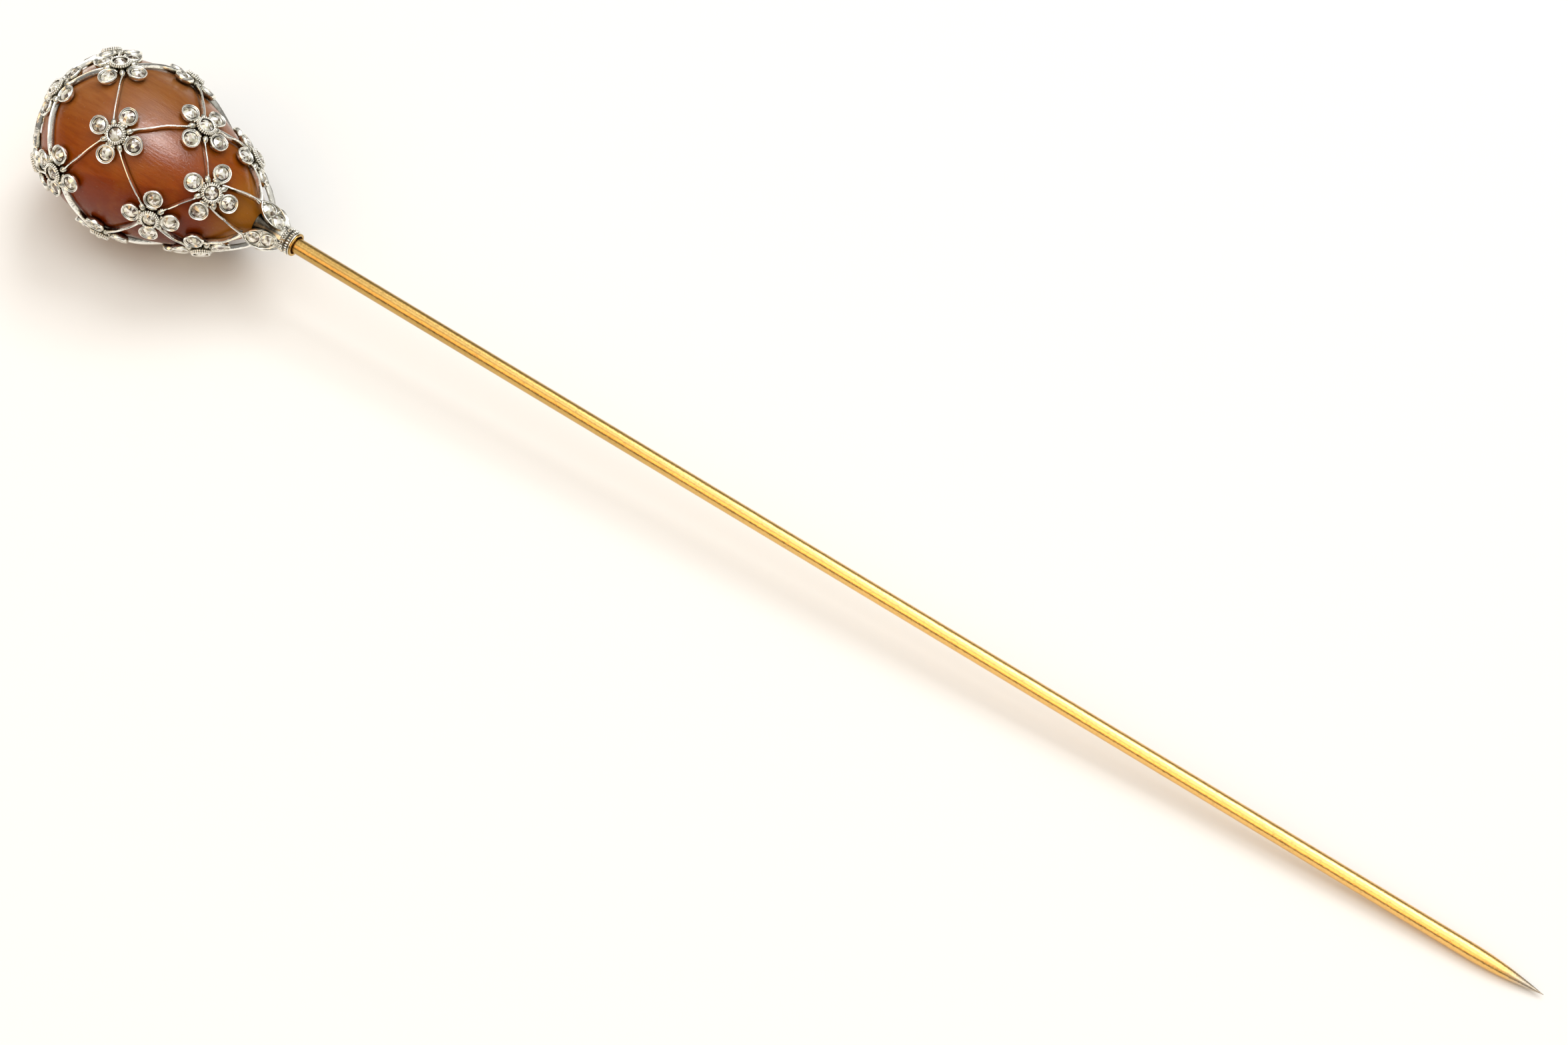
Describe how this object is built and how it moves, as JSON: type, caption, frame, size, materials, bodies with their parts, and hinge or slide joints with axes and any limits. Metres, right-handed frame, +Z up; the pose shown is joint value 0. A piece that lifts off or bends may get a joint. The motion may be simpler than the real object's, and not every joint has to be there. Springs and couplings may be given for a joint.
{
  "type": "hat pin",
  "caption": "Hat pin with a pear-shaped agate head in a cage of diamond flowers joined by knife-edge wires, on a plain gold stem.",
  "frame": {"origin": "on the surface that the pin lies on, under the middle of its bounding box", "axes": "+Z up, +X from the head towards the point; the stem slopes down towards the point as it does when the pin lies at rest"},
  "size_m": [0.1709, 0.0184, 0.0184],
  "materials": {
    "agate": "polished",
    "gold": "polished",
    "silver": "polished",
    "diamond": "rose cut"
  },
  "bodies": {
    "root": {"carnelian_drop": "agate", "pin_stem": "gold", "ferrule": "gold", "collar": "silver", "stone_cup": "silver", "leaf_setting_1": "silver", "leaf_setting_2": "silver", "leaf_setting_3": "silver", "leaf_setting_4": "silver", "leaf_diamonds": "diamond", "flower_a1": "silver", "flower_a2": "silver", "flower_a3": "silver", "flower_a4": "silver", "flower_b1": "silver", "flower_b2": "silver", "flower_b3": "silver", "flower_b4": "silver", "flower_c1": "silver", "flower_c2": "silver", "flower_c3": "silver", "flower_c4": "silver", "flower_d1": "silver", "flower_d2": "silver", "flower_d3": "silver", "flower_d4": "silver", "flower_e1": "silver", "flower_e2": "silver", "flower_e3": "silver", "flower_e4": "silver", "crown_flower": "silver", "diamonds_a": "diamond", "diamonds_b": "diamond", "diamonds_c": "diamond", "diamonds_d": "diamond", "diamonds_e": "diamond", "crown_diamonds": "diamond", "wires_leaf_a": "silver", "wires_a_b": "silver", "wires_b_c": "silver", "wires_c_d": "silver", "wires_d_e": "silver", "wires_crown": "silver"}
  },
  "joints": []
}
